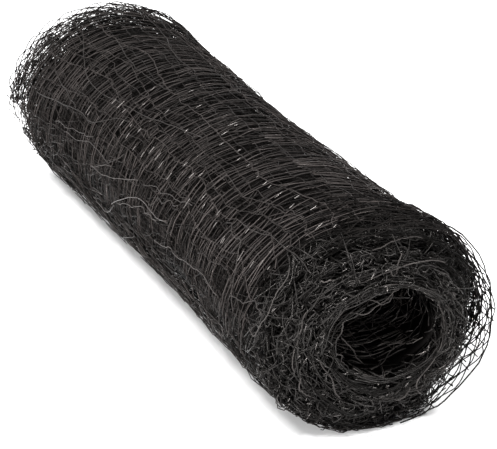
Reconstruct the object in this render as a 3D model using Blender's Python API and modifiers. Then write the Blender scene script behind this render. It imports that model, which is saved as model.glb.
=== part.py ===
"""A roll of bird netting lying on the floor, in metres, with +Z up and the roll's axis along X.

The net is one long sheet wound on itself around a hollow. It is made flat, as a grid of turns
and lengths, and then wound up. The packed turns are a thick spiral, and the last turn is a single
layer of net, cut through, which stands a little off the roll and past both of its ends.
The near end of the roll is at +X. Angles run from +Y over the top (+Z).
"""

import math

import bmesh
import bpy

# The wound roll
ROLL_LENGTH = 0.306
BORE_HALF_WIDTH = 0.0222
BORE_HALF_HEIGHT = 0.0165
BORE_SHIFT = 0.0022
INNER_END_ANGLE = math.radians(149)
PACKED_TURNS = 4.4
TURN_PITCH = 0.0049
TURN_GAP = 0.0010
PACKED_THICKNESS = TURN_PITCH - TURN_GAP
OUTER_HALF_HEIGHT = BORE_HALF_HEIGHT + TURN_PITCH * PACKED_TURNS + PACKED_THICKNESS
SEAT_DEPTH = 0.0016

# The last turn, a single layer of net
NET_TURNS = 0.69
NET_THICKNESS = 0.0012
THINNING_TURNS = 0.06
STRAND_WIDTH = 0.0018
CELLS_AROUND = 9
CELLS_ALONG = 24
CELL_WAVER = 0.0014
FREE_EDGE_WANDER = 0.007
NET_GIRTH = math.tau * (BORE_HALF_WIDTH + TURN_PITCH * PACKED_TURNS)

# How fine the flat sheet's grid is
COLUMNS_PER_TURN = 28
GAP_COLUMNS = 2
ROWS_PER_PACKED_ROW = 7

# The roll's girth along its length: it flares at the far end and fills out before the near one
GIRTH = (
    {"along": 0.00, "scale": 1.042},
    {"along": 0.15, "scale": 1.006},
    {"along": 0.40, "scale": 0.997},
    {"along": 0.65, "scale": 1.003},
    {"along": 0.88, "scale": 1.016},
    {"along": 1.00, "scale": 1.000},
)

# How far each turn's edges stop short of the roll's ends, which rounds the near end's shoulder
TURN_ENDS = (
    {"turn": 0.0, "near": 0.0010, "far": 0.0060},
    {"turn": 0.9, "near": 0.0000, "far": 0.0030},
    {"turn": 1.9, "near": 0.0012, "far": 0.0010},
    {"turn": 2.9, "near": 0.0050, "far": 0.0000},
    {"turn": 3.6, "near": 0.0100, "far": 0.0000},
    {"turn": 4.4, "near": 0.0150, "far": 0.0010},
    {"turn": 4.5, "near": 0.0000, "far": -0.0010},
    {"turn": 4.7, "near": -0.0010, "far": -0.0045},
    {"turn": 4.9, "near": 0.0060, "far": -0.0065},
    {"turn": 5.1, "near": 0.0100, "far": -0.0095},
)

# The near shoulder is full at this angle, and shrinks to its least share on the opposite side
SHOULDER_ANGLE = math.radians(115)
SHOULDER_LEAST = 0.30

# The edges of the turns are uneven
END_WAVES = 5
END_WAVE_DEPTH = 0.0009

# Where the last turn lifts off the packed ones: the angle it is centred on, its reach and height
LIFTS = (
    {"end": "near", "angle": math.radians(-10), "spread": math.radians(80), "height": 0.0038},
    {"end": "far", "angle": math.radians(145), "spread": math.radians(70), "height": 0.0026},
)
LIFT_REACH = 0.17

# Soft lobes in the section: how many go round, how far they turn along the roll, and their depth
LOBES = (
    {"around": 2, "turns_along": 0.30, "phase": 0.4, "depth": 0.010},
    {"around": 3, "turns_along": -0.55, "phase": 2.1, "depth": 0.008},
    {"around": 5, "turns_along": 0.80, "phase": 4.4, "depth": 0.005},
)

NET_COLOUR = (0.030, 0.027, 0.027, 1.0)
NET_ROUGHNESS = 0.42
CLOSE = 1e-6


def clear_scene():
    for item in list(bpy.data.objects):
        bpy.data.objects.remove(item)


def smooth(share):
    """Eases from 0 to 1 as share does."""
    share = min(1.0, max(0.0, share))
    return share * share * (3 - 2 * share)


def read_table(rows, key, value, at):
    """A smooth reading of one column of a table at a place between its rows."""
    if at <= rows[0][key]:
        return rows[0][value]
    for low, high in zip(rows, rows[1:]):
        if at <= high[key]:
            share = smooth((at - low[key]) / (high[key] - low[key]))
            return low[value] + (high[value] - low[value]) * share
    return rows[-1][value]


def thickness_at(turn):
    """The sheet's thickness: a thin inner end, packed turns, and then the single layer of net."""
    inner = 1 - smooth(turn / (2 * THINNING_TURNS))
    outer = smooth((turn - PACKED_TURNS) / THINNING_TURNS)
    return PACKED_THICKNESS + (NET_THICKNESS - PACKED_THICKNESS) * max(inner, outer)


def middle_depth(turn):
    """How far outside the bore the sheet's middle lies. The net lies close on the turn below it."""
    full = thickness_at(turn) if turn > PACKED_TURNS else PACKED_THICKNESS
    return TURN_PITCH * turn + full / 2


def lift_at(turn, angle, along):
    """How far the last turn stands off the packed ones, most of all near the roll's ends."""
    height = 0.0
    for lift in LIFTS:
        from_end = 1 - along if lift["end"] == "near" else along
        turned = math.remainder(angle - lift["angle"], math.tau)
        round_it = math.exp(-((turned / lift["spread"]) ** 2))
        height += lift["height"] * round_it * smooth(1 - from_end / LIFT_REACH)
    return height * smooth((turn - PACKED_TURNS) / THINNING_TURNS)


def lobes_at(angle, along):
    """The scale that the section's soft lobes give at an angle and a place along the roll."""
    waves = (
        lobe["depth"]
        * math.sin(lobe["around"] * angle + lobe["phase"] + math.tau * lobe["turns_along"] * along)
        for lobe in LOBES
    )
    return 1 + sum(waves)


def ends_at(turn, angle):
    """The places along X where a turn's far and near edges lie at an angle."""
    wave = END_WAVE_DEPTH * math.sin(END_WAVES * angle + turn)
    facing = 0.5 + 0.5 * math.cos(angle - SHOULDER_ANGLE)
    shoulder = SHOULDER_LEAST + (1 - SHOULDER_LEAST) * facing
    near_recess = read_table(TURN_ENDS, "turn", "near", turn) * shoulder + wave
    far_recess = read_table(TURN_ENDS, "turn", "far", turn) + wave
    return far_recess - ROLL_LENGTH / 2, ROLL_LENGTH / 2 - near_recess


def wound_point(turn, along):
    """Where a point of the flat sheet's middle lies once wound. The girth grows from the foot up."""
    angle = INNER_END_ANGLE + math.tau * turn
    depth = middle_depth(turn) + lift_at(turn, angle, along)
    shift = BORE_SHIFT * max(0, 1 - turn / PACKED_TURNS)
    lobes = lobes_at(angle, along)
    girth = read_table(GIRTH, "along", "scale", along)
    across = (BORE_HALF_WIDTH + depth) * lobes * math.cos(angle) + shift
    height = (BORE_HALF_HEIGHT + depth) * lobes * math.sin(angle) + OUTER_HALF_HEIGHT
    far, near = ends_at(turn, angle)
    return far + (near - far) * along, across * girth, height * girth


def net_lines(start, end, cells, strand, parts):
    """The edges of the strands between start and end, with each gap in so many parts."""
    step = (end - start - strand) / cells
    lines = []
    for cell in range(cells):
        strand_start = start + cell * step
        gap_start = strand_start + strand
        lines.append(strand_start)
        lines += [gap_start + (step - strand) * part / parts for part in range(parts)]
    return lines + [end - strand, end]


def sheet_columns():
    """The flat sheet's lines across the winding, in turns: the packed ones, then the net's."""
    packed = round(PACKED_TURNS * COLUMNS_PER_TURN)
    lines = [PACKED_TURNS * i / packed for i in range(packed)]
    end = PACKED_TURNS + NET_TURNS
    return lines + net_lines(
        PACKED_TURNS, end, CELLS_AROUND, STRAND_WIDTH / NET_GIRTH, GAP_COLUMNS
    )


def sheet_rows():
    """The flat sheet's lines along the winding, as shares of the roll's length."""
    return net_lines(0.0, 1.0, CELLS_ALONG, STRAND_WIDTH / ROLL_LENGTH, 1)


def grid_on_lines(columns, rows):
    """A flat grid with its lines at these places, with turns along X and the length along Y."""
    sheet = bmesh.new()
    bmesh.ops.create_grid(
        sheet, x_segments=len(columns) - 1, y_segments=len(rows) - 1, size=0.5
    )
    for vert in sheet.verts:
        column = round((vert.co.x + 0.5) * (len(columns) - 1))
        row = round((vert.co.y + 0.5) * (len(rows) - 1))
        vert.co = (columns[column], rows[row], 0)
    return sheet


def cut_gaps(sheet, columns, rows):
    """Takes out the net's gaps: what lies between strands both ways."""
    first = columns.index(PACKED_TURNS)
    gaps = []
    for face in sheet.faces:
        middle = face.calc_center_median()
        column = sum(line < middle.x for line in columns) - 1 - first
        row = sum(line < middle.y for line in rows) - 1
        between_columns = column > 0 and column % (GAP_COLUMNS + 1) != 0
        if between_columns and row % 2 != 0:
            gaps.append(face)
    bmesh.ops.delete(sheet, geom=gaps, context="FACES")


def merge_packed_rows(sheet, rows):
    """Leaves the packed turns with few rows, as they have no gaps to bound."""
    kept = rows[::ROWS_PER_PACKED_ROW] + rows[-1:]
    spare = []
    for edge in sheet.edges:
        first, last = (vert.co for vert in edge.verts)
        along_a_row = abs(first.y - last.y) < CLOSE
        on_kept_row = min(abs(first.y - row) for row in kept) < CLOSE
        packed = max(first.x, last.x) < PACKED_TURNS + CLOSE
        if packed and along_a_row and not on_kept_row:
            spare.append(edge)
    bmesh.ops.dissolve_edges(sheet, edges=spare, use_verts=True)


def waver(turn, along):
    """Shifts a point of the net within the sheet, so its cells and free edge are uneven."""
    net_share = (turn - PACKED_TURNS) / NET_TURNS
    loose = CELL_WAVER * smooth(6 * net_share)
    inside = 4 * along * (1 - along)
    along_slip = loose * inside * math.sin(math.tau * (2.7 * turn + 1.9 * along))
    turn_slip = loose * inside * math.sin(math.tau * (1.3 * turn - 3.1 * along))
    turn_slip += FREE_EDGE_WANDER * smooth(net_share) * math.sin(math.tau * (1.6 * along + 0.35))
    return turn + turn_slip / NET_GIRTH, along + along_slip / ROLL_LENGTH


def wind_up(sheet):
    """Winds the flat sheet into the roll, and lists each point's share of the full thickness."""
    shares = []
    for vert in sheet.verts:
        turn, along = waver(vert.co.x, vert.co.y)
        shares.append(thickness_at(turn) / PACKED_THICKNESS)
        vert.co = wound_point(turn, along)
    return shares


def thicken(sheet, shares, collection):
    """The wound sheet as a solid mesh: Solidify gives each point its share of the thickness."""
    surface = bpy.data.meshes.new("wound_sheet")
    sheet.to_mesh(surface)
    sheet.free()
    wound = bpy.data.objects.new("wound_sheet", surface)
    collection.objects.link(wound)
    group = wound.vertex_groups.new(name="thickness")
    for index, share in enumerate(shares):
        group.add([index], share, "REPLACE")
    solidify = wound.modifiers.new("thickness", "SOLIDIFY")
    solidify.thickness = PACKED_THICKNESS
    solidify.offset = 0
    solidify.vertex_group = group.name
    graph = bpy.context.evaluated_depsgraph_get()
    solid = bpy.data.meshes.new_from_object(wound.evaluated_get(graph))
    bpy.data.objects.remove(wound)
    return solid


def middle_of(places):
    return (min(places) + max(places)) / 2


def settle(solid):
    """Presses the foot flat on the floor, and puts the middle of its box over the origin."""
    floor = min(vert.co.z for vert in solid.vertices) + SEAT_DEPTH
    middle_x = middle_of([vert.co.x for vert in solid.vertices])
    middle_y = middle_of([vert.co.y for vert in solid.vertices])
    for vert in solid.vertices:
        vert.co.x -= middle_x
        vert.co.y -= middle_y
        vert.co.z = max(vert.co.z, floor) - floor


def net_material():
    material = bpy.data.materials.new("net_plastic")
    material.use_nodes = True
    surface = material.node_tree.nodes["Principled BSDF"]
    surface.inputs["Base Color"].default_value = NET_COLOUR
    surface.inputs["Roughness"].default_value = NET_ROUGHNESS
    surface.inputs["Metallic"].default_value = 0.0
    return material


def main():
    clear_scene()
    collection = bpy.data.collections.new("bird_netting_roll")
    bpy.context.scene.collection.children.link(collection)
    columns = sheet_columns()
    rows = sheet_rows()
    sheet = grid_on_lines(columns, rows)
    cut_gaps(sheet, columns, rows)
    merge_packed_rows(sheet, rows)
    shares = wind_up(sheet)
    solid = thicken(sheet, shares, collection)
    settle(solid)
    solid.name = "netting_roll"
    solid.materials.append(net_material())
    collection.objects.link(bpy.data.objects.new("netting_roll", solid))


main()
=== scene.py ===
"""The looks of a roll of bird netting: every strand of the net that shows, wound as the solid is.

A place on the net is given by its turn round the roll, its share of the roll's length from the far
end (0) to the near one (1), and its depth in from the outer face of the wound strip. The net lies in
layers, as it was folded along its length before it was wound. Lengths are in metres.
"""

import math

import bpy
import numpy as np
from mathutils import Matrix, Vector


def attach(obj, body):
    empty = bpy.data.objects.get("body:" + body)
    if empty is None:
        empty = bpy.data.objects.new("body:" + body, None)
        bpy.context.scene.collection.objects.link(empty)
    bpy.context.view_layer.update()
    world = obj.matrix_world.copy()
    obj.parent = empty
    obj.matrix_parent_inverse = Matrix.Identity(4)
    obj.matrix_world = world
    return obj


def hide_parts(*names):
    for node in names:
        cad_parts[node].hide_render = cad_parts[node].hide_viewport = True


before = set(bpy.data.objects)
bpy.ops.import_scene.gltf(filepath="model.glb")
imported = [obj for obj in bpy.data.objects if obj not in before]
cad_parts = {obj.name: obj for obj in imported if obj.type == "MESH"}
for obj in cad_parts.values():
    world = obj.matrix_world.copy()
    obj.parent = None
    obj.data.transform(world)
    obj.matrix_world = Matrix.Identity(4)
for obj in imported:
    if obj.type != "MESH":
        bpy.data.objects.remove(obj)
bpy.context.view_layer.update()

TAU = math.tau
SOLID = "netting_roll"

# The wound strip, with the same sizes as the solid
ROLL_LENGTH = 0.306
BORE_HALF_WIDTH = 0.0222
BORE_HALF_HEIGHT = 0.0165
BORE_SHIFT = 0.0022
INNER_END_ANGLE = math.radians(149)
PACKED_TURNS = 4.4
TURN_PITCH = 0.0049
PACKED_THICKNESS = 0.0039
OUTER_HALF_HEIGHT = BORE_HALF_HEIGHT + TURN_PITCH * PACKED_TURNS + PACKED_THICKNESS
NET_THICKNESS = 0.0012
THINNING_TURNS = 0.06
NET_GIRTH = TAU * (BORE_HALF_WIDTH + TURN_PITCH * PACKED_TURNS)
BORE_GIRTH = math.pi * (BORE_HALF_WIDTH + BORE_HALF_HEIGHT)
OUTERMOST_FROM_TURN = 4.09
GIRTH = {
    "along": (0.00, 0.15, 0.40, 0.65, 0.88, 1.00),
    "scale": (1.042, 1.006, 0.997, 1.003, 1.016, 1.000),
}
# How far each turn's edges lie inside the roll's length at its two ends
TURN_ENDS = {
    "turn": (0.0, 0.9, 1.9, 2.9, 3.6, 4.4, 4.5, 4.7, 4.9, 5.1),
    "near": (0.0010, 0.0, 0.0012, 0.0050, 0.0100, 0.0150, 0.0, -0.0010, 0.0060, 0.0100),
    "far": (0.0060, 0.0030, 0.0010, 0.0, 0.0, 0.0010, -0.0010, -0.0045, -0.0065, -0.0095),
}
SHOULDER_ANGLE = math.radians(115)
SHOULDER_LEAST = 0.30
END_WAVES = 5
END_WAVE_DEPTH = 0.0009
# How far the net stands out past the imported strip: loosely everywhere towards the far end, and by
# angle at the near rim of the last turn
LOOSENESS = {
    "along": (0.00, 0.20, 0.32, 0.48, 0.62, 0.85, 0.94, 1.00),
    "out": (0.0022, 0.0024, 0.0018, 0.0008, 0.0004, 0.0002, 0.0010, 0.0004),
}
NEAR_RIM = {
    "degrees": (-125, -108, -20, 10, 40, 58, 72, 110),
    "out": (0.0, -0.0018, -0.0018, -0.0004, 0.0008, 0.0036, 0.0036, 0.0),
}
RIM_REACH = 0.15
LOOSE_FROM_TURN = 2.2
LOOSE_WITHIN_TURNS = 1.2
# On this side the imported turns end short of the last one, and daylight shows through it
SHORT_SIDE = math.radians(-18)
SHORT_SPREAD = math.radians(46)
SHORT_BY = 0.013
SHORT_FROM_TURN = 1.7
SHORT_TO_TURN = 4.38
SHORT_STOPS_WITHIN = 0.04
LOBES = (
    {"around": 2, "turns_along": 0.30, "phase": 0.4, "depth": 0.010},
    {"around": 3, "turns_along": -0.55, "phase": 2.1, "depth": 0.008},
    {"around": 5, "turns_along": 0.80, "phase": 4.4, "depth": 0.005},
)

# Where the wound strip was before it was settled over the origin and pressed on the floor
MIDDLE_X = -0.004014
MIDDLE_Y = -0.001383
FLOOR_LEVEL = 0.002112

# The net
STRAND_RADIUS = 0.00021
CROSS_RADIUS = 0.00020
ROUND_STEP = 0.0066
ALONG_STEP = 0.0050
FAR_RAGGED = 0.006
NEAR_RAGGED = 0.008
KINK = 0.00055
CRUMPLED_KINK = 1.2
WEAVE = 0.00048
READINGS = 400

# Where the net is crumpled: on the roll's front, and towards its ends
FRONT_ANGLE = math.radians(205)
CRUMPLED_SPREAD = math.radians(38)
CRUMPLED_NEAR_FROM = 0.90
CRUMPLED_REACH = 0.08
CRUMPLED_FAR = 0.7
# The layers' edges hold each other, and slip little
HELD_SHARE = 0.85
HELD_REACH = 0.11
# Where the strands round the roll are fewer
THINNED_SPREAD = math.radians(44)
THINNED_FROM_TURN = 3.9
THINNED_WITHIN_TURNS = 0.1
THINNED_FRONT = 0.75
THINNED_EDGE = 0.3
EDGE_REACH = 0.09
FULL_LENGTH = 0.98

# The layers of net that show, from the outermost turn inwards. Pitches are from strand to strand,
# skew is how far the net runs along the roll for each length round it, and kept is the share of
# the strands that come up to this layer. The layers below the top ones take the darker "deep"
# material, which is painted shade for the light that doesn't reach down to them.
WINDINGS = (
    {
        "name": "outer_net", "seed": 31, "material": "outer", "turns": (4.38, 5.09),
        "alongs": (0.006, 0.975), "loose": 1.1, "layers": (
            {"depth": 0.0001, "skew": 0.26, "round": 0.0021, "along": 0.0088, "kept": 0.64},
            # This layer's strands are at most half as light: painted shade, as it lies under the one
            # above
            {"depth": 0.0007, "skew": 0.06, "round": 0.0026, "along": 0.0104, "kept": 0.66,
             "lightest": 0.5},
        ),
    },
    {
        "name": "under_net", "seed": 32, "material": "deep", "turns": (4.40, 5.07),
        "alongs": (0.008, 0.95), "loose": 1.2, "layers": (
            {"depth": 0.0014, "skew": 0.16, "round": 0.0030, "along": 0.0130, "kept": 0.85},
            {"depth": 0.0021, "skew": -0.05, "round": 0.0030, "along": 0.0130, "kept": 0.85},
        ),
    },
    {
        "name": "outer_turn_top", "seed": 11, "material": "outer", "turns": (3.96, 4.42),
        "alongs": (0.0, 0.97), "loose": 1.2, "layers": (
            {"depth": 0.0002, "skew": 0.20, "round": 0.0023, "along": 0.0064, "kept": 0.66},
            # This layer's strands are at most half as light: painted shade, as it lies under the one
            # above
            {"depth": 0.0009, "skew": 0.04, "round": 0.0028, "along": 0.0076, "kept": 0.66,
             "lightest": 0.5},
        ),
    },
    {
        "name": "outer_turn_below", "seed": 12, "material": "deep", "turns": (3.40, 4.40),
        "alongs": (0.0, 0.98), "loose": 1.2, "layers": (
            {"depth": 0.0014, "skew": 0.10, "round": 0.0036, "along": 0.0120, "kept": 0.9},
            {"depth": 0.0022, "skew": 0.00, "round": 0.0036, "along": 0.0130, "kept": 0.9},
            {"depth": 0.0032, "skew": -0.06, "round": 0.0040, "along": 0.0130, "kept": 0.9},
        ),
    },
    {
        "name": "second_turn", "seed": 13, "material": "deep", "turns": (2.40, 3.40),
        "alongs": (0.0, 0.98), "loose": 1.0, "layers": (
            {"depth": 0.0003, "skew": 0.05, "round": 0.0038, "along": 0.0120, "kept": 0.9},
            {"depth": 0.0014, "skew": -0.05, "round": 0.0040, "along": 0.0130, "kept": 0.9},
            {"depth": 0.0026, "skew": 0.00, "round": 0.0040, "along": 0.0140, "kept": 0.9},
        ),
    },
    # The bore's lining takes the lighter "bore" material: painted light inside the bore
    {
        "name": "bore_lining", "seed": 21, "material": "bore", "turns": (0.02, 1.10),
        "alongs": (0.0, 0.94), "loose": 1.6, "layers": (
            {"depth": 0.0036, "skew": 0.05, "round": 0.0040, "along": 0.0090, "kept": 0.75},
            {"depth": 0.0028, "skew": -0.08, "round": 0.0040, "along": 0.0100, "kept": 0.85},
            {"depth": 0.0019, "skew": 0.00, "round": 0.0040, "along": 0.0110, "kept": 0.9},
        ),
    },
)
# Where the strands of a layer turn as they cross the ones along the roll
TURNED_ASIDE = 0.0010
TURNED_TOGETHER = 0.026
BIT_SHARES = np.array((-0.07, 0.5, 1.07))
PATCH_LENGTH = 0.017
# How unevenly a layer's strands lie, as shares of their pitches, and how they differ
ALONG_UNEVEN = 0.20
ROUND_UNEVEN = 0.22
BIT_UNEVEN = 0.16
PATCH_CHANGE = 0.5
SUNK = 0.00022
TILTED = 0.00025
RADIUS_SHARES = (0.75, 1.05)
ALONG_SHADES = (0.05, 0.65)

# The crumpled edges of all the turns at the two ends
FACE_DEPTHS = (0.0000, 0.0010, 0.0020, 0.0030, 0.0040)
FACE_REACH = 0.085
FACE_TURNS = (0.04, 4.42)
FACE_LOOSENESS = 2.4
FACE_ROUND_PITCH = 0.0046
FACE_ALONG_PITCH = 0.0110
FACE_STRAND_RADIUS = 0.00026
LOOP_POINTS = 11
ARC_POINTS = 9
ARC_CENTRING = 1 / 12
ARC_WAVE = 0.04
ARC_WAVES = 1.3
ARC_LEAN = 0.0011
ARC_INSIDE = 0.0006
ARC_OUTSIDE = 0.0002
FOLDS = {
    "count": 300, "turns": (0.5, 4.35), "depths": (0.0002, 0.0037), "apart": (0.0006, 0.0030),
    "least_depth": -0.0006, "most_depth": 0.0046, "evenness": 2.2, "reach": 0.0011,
    "legs": (0.004, 0.010), "blunt": 0.8, "aside": 0.0032, "sway": 0.0012, "dip": 0.0006,
    "shades": (0.2, 1),
}
CELLS = {
    "count": 430, "turns": (0.5, 4.35), "half_round": (0.0014, 0.0042),
    "half_out": (0.0010, 0.0026), "corner": 0.22, "depths": (0.0006, 0.0034),
    "slips": (-0.0012, 0.0022), "wave": 0.0010,
}

# The open lace at the roll's two rims
LACE_STEPS = 4
LACE_RADIUS = 0.00023
LACE_LOOSENESS = 0.8
LACE_SLIP = 0.24
LACE_SHIFT = 0.15
LACE_PUFFS = (-0.0002, 0.0007)
LACE_END_GAP = 0.8
LACE_CROSS_SHADE = 0.3
KNOTS_KEPT = 0.85
KNOT_SHADES = (0, 0.5)
KNOT_HALF_LENGTHS = (0.0006, 0.0011)
KNOT_PLACES = np.array((-1.0, -0.45, 0.45, 1.0))
KNOT_RADII = np.array((0.00018, 0.00052, 0.00052, 0.00018))
LACE_RIMS = (
    {
        "name": "near_lace", "seed": 51, "turns": (4.22, 4.90), "pitch": 0.0029, "knots": 0.0078,
        "layers": (
            {"depth": 0.0000, "alongs": (0.905, 1.012)},
            {"depth": 0.0007, "alongs": (0.900, 1.002)},
            {"depth": 0.0014, "alongs": (0.890, 0.972)},
        ),
    },
    {
        "name": "far_lace", "seed": 52, "turns": (4.42, 5.10), "pitch": 0.0033, "knots": 0.0058,
        "layers": (
            {"depth": 0.0000, "alongs": (-0.007, 0.030)},
            {"depth": 0.0008, "alongs": (-0.002, 0.034)},
        ),
    },
)

# Strands that stand out on the outside: a few places each, with X in mm and the
# section angle in degrees, and the lift off the net in mm where it isn't the usual one
BODY_STRANDS = (
    {"shade": 0.25, "places": ((-125, 160), (-65, 150), (-25, 135))},
    {"shade": 0.30, "places": ((-130, 115), (-75, 135), (-20, 125), (25, 115))},
    {"shade": 0.60, "places": ((-90, 165), (-65, 160), (-45, 155))},
    {"shade": 0.60, "places": ((-75, 165), (-30, 160), (-10, 150))},
    {"shade": 0.80, "lift": 1.2, "places": ((-15, 160), (-35, 170), (-15, 165), (15, 155))},
    {"shade": 0.45, "places": ((20, 155), (40, 150), (65, 145))},
    {"shade": 0.95, "lift": 1.6, "places": ((-40, 190), (-20, 190), (15, 165), (55, 160))},
    {"shade": 0.80, "lift": 1.4, "places": ((0, 175), (30, 165), (45, 165))},
    {"shade": 0.50, "places": ((30, 160), (40, 155), (55, 150))},
    {"shade": 0.30, "places": ((95, 140), (115, 145), (130, 170))},
    {"shade": 0.80, "lift": 0.8, "places": ((45, 175), (75, 170), (115, 170))},
    {"shade": 0.40, "places": ((125, 165), (140, 160), (150, 160))},
    {"shade": 0.60, "lift": 1.4, "places": ((145, 170), (155, 160), (150, 135))},
    {"shade": 0.20, "places": ((105, 135), (130, 130), (160, 130))},
    {"shade": 0.20, "places": ((-135, 135), (-105, 145), (-75, 150))},
    {"shade": 0.20, "places": ((-105, 105), (-60, 110), (-30, 105))},
    {"shade": 0.25, "places": ((-135, 75), (-90, 80), (-45, 85))},
)

# Strands that stand out on the near face, each at one X in mm: a few places, with
# the section angle in degrees and mm out from the bore's wall
FACE_STRANDS = (
    {"x": 156, "shade": 0.8, "places": ((135, 0), (120, -4), (90, -1), (75, 3))},
    {"x": 156, "places": ((110, 1), (95, -3), (80, 2))},
    {"x": 157, "shade": 0.6, "places": ((150, 3), (90, 5), (10, 2), (-25, 4))},
    {"x": 158, "places": ((40, 4), (30, 10), (20, 4))},
    {"x": 157, "places": ((110, 9), (80, 12), (50, 17))},
    {"x": 157, "places": ((90, 12), (85, 9), (80, 17))},
    {"x": 152, "places": ((95, 18), (80, 21), (65, 22))},
    {"x": 148, "shade": 0.8, "places": ((190, -7), (220, -7), (255, -1))},
    {"x": 156, "places": ((140, 0), (160, -2), (180, -1))},
    {"x": 155, "places": ((190, 1), (205, -2), (220, 0))},
    {"x": 158, "shade": 0.7, "places": ((-20, 2), (-60, 6), (-65, 13), (-55, 7))},
    {"x": 158, "places": ((290, 8), (280, 11), (270, 5))},
    {"x": 158, "places": ((235, 11), (210, 6), (180, 7))},
    {"x": 158, "places": ((260, 9), (275, 9), (290, 6))},
    {"x": 157, "places": ((150, 15), (170, 14), (195, 15))},
    {"x": 157, "places": ((200, 14), (210, 17), (220, 15))},
    {"x": 154, "shade": 1.0, "places": ((130, 17), (125, 15), (125, 12))},
)

# The outermost strands of the near rim, given in the same way
RIM_STRANDS = (
    {"x": 161, "places": ((225, 23), (245, 21), (280, 19))},
    {"x": 159, "places": ((280, 21), (325, 22), (370, 24), (425, 31))},
)
STANDING_SEED = 61
USUAL_LIFT = 0.4
USUAL_SHADE = 0.5
RIM_SHADE = 0.4
RIM_STRAND_RADIUS = 0.00033
BODY_STRAND_RADIUS = 0.00019
FACE_STANDING_RADIUS = 0.00027
# How much these strands shake from point to point, and wander in mm and degrees
RIM_SHAKE = 0.00018
BODY_SHAKE = 0.00016
FACE_SHAKE = 0.00008
X_WANDER = 1.2
BODY_ANGLE_WANDER = 2.0
FACE_ANGLE_WANDER = 1.6
OUT_WANDER = 0.5
FORWARD_WAVE = 0.0008
PLACES_READ = 26

# Short arcs of strand. They lie round the roll, or along it by their lean, and each number gives the
# range or the spread of what its name says. Tucked ones dip back into the roll at both ends.
NEAR_ARCS = (
    {
        "count": 230, "turns": (0.05, 2.6), "alongs": (1.0, 1.0), "slips": (-0.005, 0.0022),
        "depths": (-0.0008, 0.0048), "lengths": (0.008, 0.028), "slant": 0.15, "curve": 0.16,
        "tilt": 0.10, "bow": 0.16, "tucked": 0.003,
    },
    {
        "count": 260, "turns": (2.4, 4.42), "alongs": (1.0, 1.0), "slips": (-0.010, 0.0020),
        "depths": (-0.0002, 0.0046), "lengths": (0.008, 0.028), "slant": 0.30, "curve": 0.20,
        "tilt": 0.22, "bow": 0.22, "tucked": 0.003,
    },
    {
        "count": 22, "turns": (0.02, 0.9), "alongs": (1.0, 1.0), "slips": (-0.0015, 0.0015),
        "depths": (0.0030, 0.0043), "lengths": (0.030, 0.075), "slant": 0.02, "curve": 0.03,
    },
    {
        "count": 640, "turns": (0.10, 4.42), "alongs": (1.0, 1.0), "slips": (-0.003, 0.0026),
        "depths": (-0.0002, 0.0044), "lengths": (0.006, 0.018), "slant": 0.5, "curve": 0.4,
        "tilt": 0.8, "bow": 0.7, "tucked": 0.004, "radius": 0.00023,
    },
)
FAR_ARCS = (
    {
        "count": 620, "turns": (2.4, 5.08), "alongs": (0.0, 0.0), "slips": (0.0006, 0.012),
        "depths": (-0.0006, 0.0046), "lengths": (0.004, 0.012), "slant": 0.9, "curve": 0.6,
        "tilt": 0.4, "bow": 0.4,
    },
)
BORE_ARCS = {
    "count": 520, "turns": (0.0, 1.0), "alongs": (0.15, 1.0), "slips": (-0.004, 0.0005),
    "depths": (0.0030, 0.0046), "lengths": (0.006, 0.020), "slant": 0.9, "curve": 0.6,
}
# What both rows of the front's arcs share
FRONT_ARC = {
    "slips": (-0.002, 0.002), "lengths": (0.012, 0.045), "lean": 1.57, "slant": 0.20,
    "curve": 0.10, "radius": 0.00019,
}
FRONT_ARCS = (
    {
        "count": 330, "turns": (4.00, 4.27), "alongs": (0.03, 0.92), "depths": (-0.0007, 0.0003),
        **FRONT_ARC,
    },
    {
        "count": 130, "turns": (4.93, 5.09), "alongs": (0.03, 0.90), "depths": (-0.0006, 0.0004),
        **FRONT_ARC,
    },
)
# Where bits of strand glint on the outside: bands along X, round a section angle in degrees
GLINT_BANDS = (
    {"count": 30, "x": (-0.070, 0.145), "degrees": 139, "spread": 9},
    {"count": 14, "x": (0.030, 0.148), "degrees": 109, "spread": 5},
    {"count": 8, "x": (-0.045, 0.035), "degrees": 110, "spread": 16},
)
BODY_GLINT_SEED = 82
FACE_GLINT_SEED = 83
GLINT_DEPTH = -0.0011
GLINT_LENGTH = 0.0034
GLINT_EVENNESS = 9
GLINT_LEAN = math.radians(14)
GLINT_RADII = np.array((0.00013, 0.00021, 0.00021, 0.00021, 0.00013))
FACE_GLINTS = {
    "count": 85, "turns": (0.1, 4.38), "depths": (0.0004, 0.0036), "slips": (0.0002, 0.0030),
    "lean": 0.7, "lengths": (0.0012, 0.0034), "radii": (0.5, 0.9),
}
# How far a glint's neighbours on the net are read to find its directions
TURN_STEP = 0.002
ALONG_SHARE_STEP = 0.01
DEPTH_STEP = 0.001

# The band of folds packed deep between the bore and the outer turns. Its near-black colour is
# painted shade for the depths of the roll that light doesn't reach.
PACKED_SEED = 5
PACKED_BAND = {
    "turns": (0.12, 3.36), "alongs": (0.036, 0.964), "rows": 130, "columns": 60, "depth": 0.0006,
    "inner_depth": 0.0016, "thicker": 0.0017, "thicker_from": 0.9, "thicker_within": 0.4,
}
LUMPS = ({"length": 0.03, "height": 0.0005}, {"length": 0.009, "height": 0.0003})

# How each layer is pulled out of square, as swells of some length and height each way. Crumpled
# stretches have more of the short ones.
SWELLS = (
    {"length": 0.095, "along": 0.0160, "round": 0.0056, "out": 0.0003, "crumpled": 0.0},
    {"length": 0.052, "along": 0.0046, "round": 0.0040, "out": 0.0003, "crumpled": 0.3},
    {"length": 0.031, "along": 0.0014, "round": 0.0020, "out": 0.0003, "crumpled": 1.0},
    {"length": 0.011, "along": 0.0003, "round": 0.0007, "out": 0.0002, "crumpled": 2.4},
)
LATTICE = 61

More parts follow.
